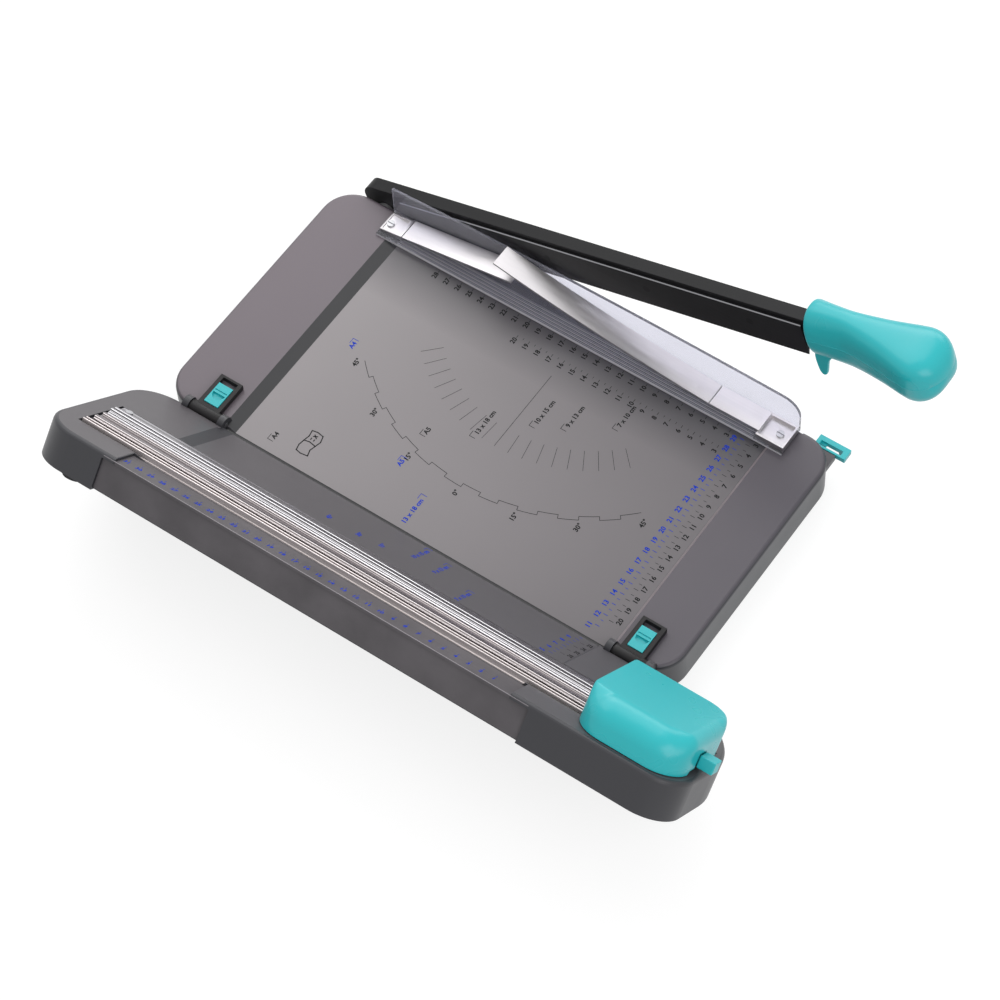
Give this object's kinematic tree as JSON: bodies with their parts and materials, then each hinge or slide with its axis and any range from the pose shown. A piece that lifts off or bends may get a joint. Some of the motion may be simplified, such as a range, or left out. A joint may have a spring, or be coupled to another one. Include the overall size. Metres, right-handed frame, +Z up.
{
  "type": "paper trimmer",
  "caption": "Desk paper trimmer: lever cutter board with clear guard and sprung clamp, and a folding rotary trimmer with a sliding cutter head.",
  "frame": {"origin": "On the desk, under the middle of the board, on the face of the middle foot", "axes": "+X runs along both cuts from the arm's pivot to its handle, +Y points to the lever's cutting edge, +Z is up"},
  "size_m": [0.521, 0.3741, 0.1899],
  "materials": {
    "board_grey": "satin moulded plastic, fine grain",
    "trimmer_grey": "satin moulded plastic, fine grain",
    "strip_grey": "satin plastic",
    "cover_dark": "matt plastic",
    "foot_rubber": "matt rubber",
    "arm_black": "satin black coating on steel",
    "blade_black": "dark coated blade steel",
    "blade_steel": "ground blade steel",
    "screw_steel": "zinc plated steel",
    "leaf_aluminium": "bright rolled aluminium",
    "rail_aluminium": "drawn anodised aluminium",
    "guard_clear": "clear moulded plastic",
    "strip_clear": "clear extruded plastic",
    "teal_plastic": "satin turquoise plastic",
    "teal_dark": "turquoise plastic",
    "mat_plastic": "tough pale plastic",
    "hinge_black": "glass filled plastic",
    "bush_brass": "plain brass"
  },
  "bodies": {
    "board": {"board_shell": "board_grey", "bottom_cover": "cover_dark", "board_feet": "foot_rubber", "cover_screws": "screw_steel", "fixed_blade": "blade_steel", "fixed_blade_screws": "screw_steel", "clear_guard": "guard_clear", "clamp_anchor_left": "leaf_aluminium", "clamp_anchor_right": "leaf_aluminium", "clamp_screws": "screw_steel", "hinge_bracket_left": "hinge_black", "hinge_bracket_right": "hinge_black", "pivot_plate": "screw_steel", "pivot_bolt": "screw_steel", "pivot_washer": "screw_steel", "pivot_nut": "screw_steel"},
    "arm": {"arm_channel": "arm_black", "arm_blade": "blade_black", "arm_blade_screws": "arm_black", "arm_bush": "bush_brass", "handle_upper": "teal_plastic", "handle_lower": "teal_dark", "handle_screws": "screw_steel"},
    "clamp_left": {"clamp_leaf_left": "leaf_aluminium"},
    "clamp_right": {"clamp_leaf_right": "leaf_aluminium"},
    "latch_left": {"latch_slide_left": "teal_dark"},
    "latch_right": {"latch_slide_right": "teal_dark"},
    "lock": {"lock_slide": "teal_dark"},
    "trimmer": {"trimmer_housing": "trimmer_grey", "hinge_pins": "screw_steel", "trimmer_cover": "cover_dark", "trimmer_feet": "foot_rubber", "trimmer_screws": "screw_steel", "ruler_strip": "strip_grey", "guide_rail": "rail_aluminium", "clear_strip": "strip_clear", "cutting_mat": "mat_plastic", "rail_screws": "screw_steel"},
    "head": {"head_shell": "teal_plastic", "head_carriage": "hinge_black", "head_screws": "screw_steel"},
    "cartridge": {"blade_cartridge": "teal_dark"},
    "wheel": {"cutting_wheel": "blade_steel", "wheel_axle": "screw_steel"}
  },
  "joints": [
    {"name": "arm_hinge", "type": "hinge", "parent": "board", "child": "arm", "pos_m": [-0.1765, 0.11735, 0.0212], "axis": [0, -1, 0], "range_deg": [-15.2, 40]},
    {"name": "clamp_right_bend", "type": "hinge", "parent": "board", "child": "clamp_right", "pos_m": [0.1185, 0.09675, 0.03925], "axis": [0, 1, 0], "range_deg": [-5.5, 0], "stiffness_Nm_per_rad": 4},
    {"name": "clamp_left_bend", "type": "hinge", "parent": "board", "child": "clamp_left", "pos_m": [-0.145, 0.09675, 0.03775], "axis": [0, 1, 0], "range_deg": [0, 6.5]},
    {"name": "fold_hinge", "type": "hinge", "parent": "board", "child": "trimmer", "pos_m": [0, -0.109, 0.032], "axis": [-1, 0, 0], "range_deg": [-41.2, 33.8]},
    {"name": "head_slide", "type": "slide", "parent": "trimmer", "child": "head", "axis": [1, 0, 0], "range_m": [-0.405, 0]},
    {"name": "cartridge_slide", "type": "slide", "parent": "head", "child": "cartridge", "axis": [1, 0, 0], "range_m": [0, 0.012]},
    {"name": "wheel_spin", "type": "hinge", "parent": "cartridge", "child": "wheel", "pos_m": [0.246, -0.17779, 0.10418], "axis": [0, 0.7524, -0.6587], "range_deg": [-1900, 10]},
    {"name": "latch_left_slide", "type": "slide", "parent": "board", "child": "latch_left", "axis": [0, 1, 0], "range_m": [0, 0.005]},
    {"name": "latch_right_slide", "type": "slide", "parent": "board", "child": "latch_right", "axis": [0, 1, 0], "range_m": [0, 0.005]},
    {"name": "lock_slide_joint", "type": "slide", "parent": "board", "child": "lock", "axis": [1, 0, 0], "range_m": [0, 0.0045]}
  ],
  "couplings": [
    {"joint": "clamp_left_bend", "follows": "clamp_right_bend", "ratio": -1.18},
    {"joint": "wheel_spin", "follows": "head_slide", "rad_per_m": 80}
  ]
}
